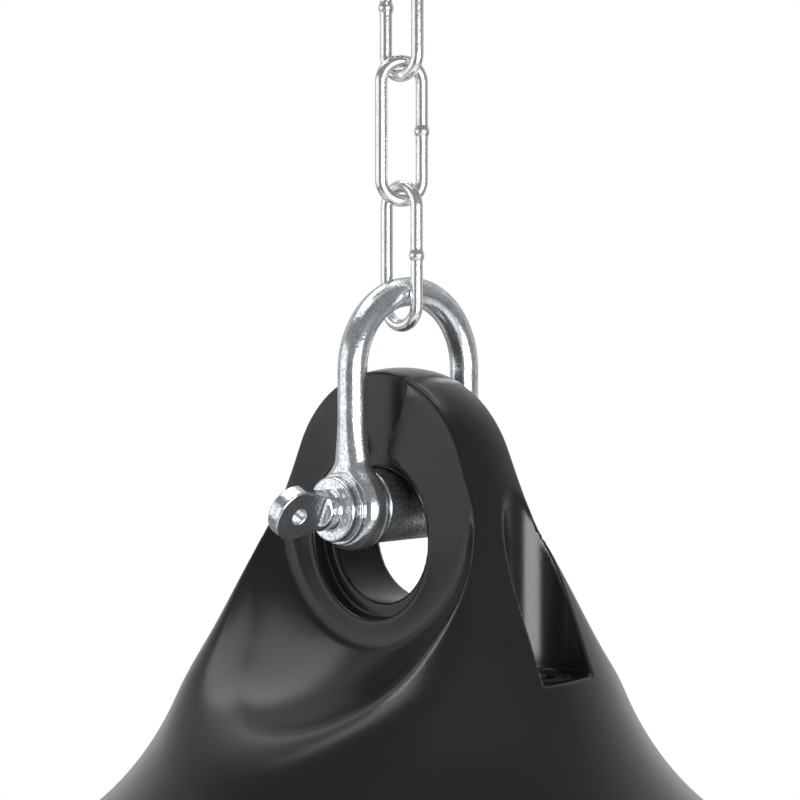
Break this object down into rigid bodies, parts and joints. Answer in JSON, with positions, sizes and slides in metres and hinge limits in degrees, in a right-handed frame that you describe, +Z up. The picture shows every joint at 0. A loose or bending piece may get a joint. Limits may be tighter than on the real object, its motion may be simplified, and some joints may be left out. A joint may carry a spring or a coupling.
{
  "type": "hanging water bag",
  "caption": "Glossy black teardrop water bag with a thick moulded eye, hung by a screw-pin shackle and welded link chain from a swivelling ceiling plate.",
  "frame": {"origin": "centre of the ceiling plate's top face, on the ceiling; the object hangs below it", "axes": "+Z up, out of the ceiling plate's face; the shackle pin lies along Y with its head towards -Y; the filling pocket faces +X"},
  "size_m": [0.381, 0.3808, 0.7118],
  "materials": {
    "bag_vinyl": "glossy moulded vinyl, near black",
    "zinc_steel": "bright zinc plating on steel",
    "plate_steel": "black powder coat",
    "water": "clear water",
    "insert_nylon": "moulded black nylon",
    "seal_rubber": "soft black rubber"
  },
  "bodies": {
    "ceiling": {"ceiling_plate": "plate_steel"},
    "swivel": {"swivel_clevis": "zinc_steel", "thrust_washer": "zinc_steel", "swivel_nut": "zinc_steel", "clevis_pin": "zinc_steel", "split_pin": "zinc_steel"},
    "link_top": {"chain_link_top": "zinc_steel"},
    "link_middle": {"chain_link_middle": "zinc_steel"},
    "link_bottom": {"chain_link_bottom": "zinc_steel"},
    "shackle": {"shackle_bow": "zinc_steel"},
    "sleeve": {"eye_sleeve": "zinc_steel"},
    "pin_washer": {"shackle_washer": "zinc_steel"},
    "pin": {"shackle_pin": "zinc_steel"},
    "bag": {"bag_body": "bag_vinyl", "water_fill": "water", "fill_insert": "insert_nylon"},
    "seal": {"plug_seal": "seal_rubber"},
    "plug": {"fill_plug": "insert_nylon"}
  },
  "joints": [
    {"name": "swivel_turn", "type": "hinge", "parent": "ceiling", "child": "swivel", "pos_m": [0, 0, -0.012], "axis": [0, 0, 1], "continuous": true},
    {"name": "top_link_swing", "type": "hinge", "parent": "swivel", "child": "link_top", "pos_m": [0, 0, -0.039], "axis": [-0.0523, 0.9986, 0], "range_deg": [-25, 25]},
    {"name": "middle_link_swing", "type": "hinge", "parent": "link_top", "child": "link_middle", "pos_m": [0, 0, -0.08715], "axis": [0.9986, 0.0523, 0], "range_deg": [-25, 25]},
    {"name": "bottom_link_swing", "type": "hinge", "parent": "link_middle", "child": "link_bottom", "pos_m": [0, 0, -0.13615], "axis": [0.454, 0.891, 0], "range_deg": [-25, 25]},
    {"name": "shackle_swing", "type": "hinge", "parent": "link_bottom", "child": "shackle", "pos_m": [0, 0, -0.1721], "axis": [1, 0, 0], "range_deg": [-25, 25]},
    {"name": "sleeve_spin", "type": "hinge", "parent": "shackle", "child": "sleeve", "pos_m": [0, 0, -0.25477], "axis": [0, 1, 0], "continuous": true},
    {"name": "pin_backoff", "type": "slide", "parent": "shackle", "child": "pin_washer", "axis": [0, -1, 0], "range_m": [0, 0.0041]},
    {"name": "pin_turn", "type": "hinge", "parent": "pin_washer", "child": "pin", "pos_m": [0, 0, -0.25477], "axis": [0, -1, 0], "range_deg": [0, 720]},
    {"name": "bag_swing", "type": "hinge", "parent": "shackle", "child": "bag", "pos_m": [0, 0, -0.25477], "axis": [0, 1, 0], "range_deg": [-60, 60]},
    {"name": "plug_lift", "type": "slide", "parent": "bag", "child": "seal", "axis": [0, 0, 1], "range_m": [0, 0.0101]},
    {"name": "plug_turn", "type": "hinge", "parent": "seal", "child": "plug", "pos_m": [0.0677, 0.0073, -0.315], "axis": [0, 0, 1], "range_deg": [0, 1440]}
  ],
  "couplings": [
    {"joint": "pin_backoff", "follows": "pin_turn", "m_per_rad": 0.00031831},
    {"joint": "plug_lift", "follows": "plug_turn", "m_per_rad": 0.00039789}
  ]
}
